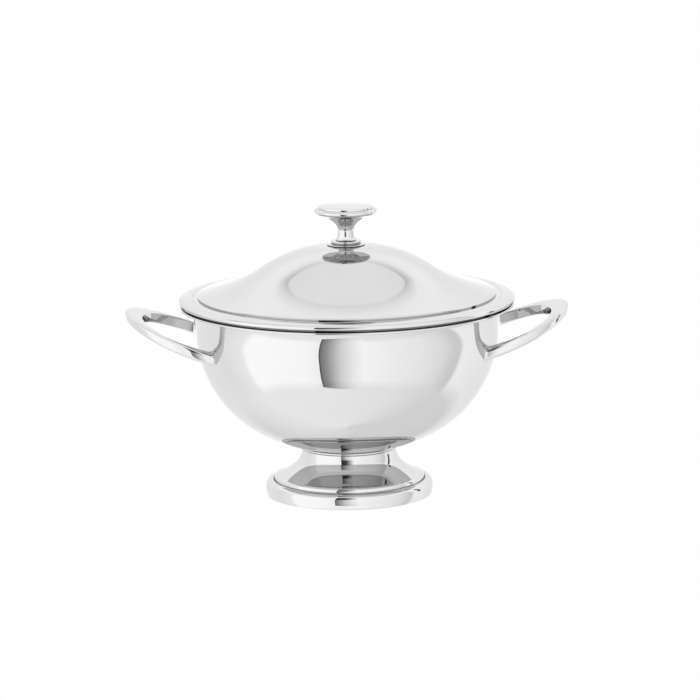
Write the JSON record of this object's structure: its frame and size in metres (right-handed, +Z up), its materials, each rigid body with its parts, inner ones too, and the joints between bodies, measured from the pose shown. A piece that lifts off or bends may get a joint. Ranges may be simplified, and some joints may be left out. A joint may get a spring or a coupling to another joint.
{
  "type": "soup tureen",
  "caption": "Footed round soup tureen in polished silver-coloured metal, with loop handles, a flat rim and a domed lift-off lid with a turned knob.",
  "frame": {"origin": "bottom centre of the foot, on the surface the tureen stands on", "axes": "+Z up; +X from the left handle to the right handle; +Y away from the viewer"},
  "size_m": [0.3238, 0.246, 0.2131],
  "materials": {
    "polished_silver": "mirror-polished silver plate",
    "fitting_steel": "plain satin steel"
  },
  "bodies": {
    "tureen": {"foot_base_ring": "polished_silver", "foot_pedestal": "polished_silver", "neck_ring": "polished_silver", "bowl_shell": "polished_silver", "bowl_rim": "polished_silver", "handle_left": "polished_silver", "handle_right": "polished_silver"},
    "lid": {"lid_shell": "polished_silver", "lid_border": "polished_silver", "lid_locating_ring": "polished_silver", "knob_collar": "polished_silver", "knob": "polished_silver", "knob_washer": "fitting_steel", "knob_screw": "fitting_steel"}
  },
  "joints": [
    {"name": "lid_lift", "type": "slide", "parent": "tureen", "child": "lid", "axis": [0, 0, 1], "range_m": [0, 0.15]}
  ]
}
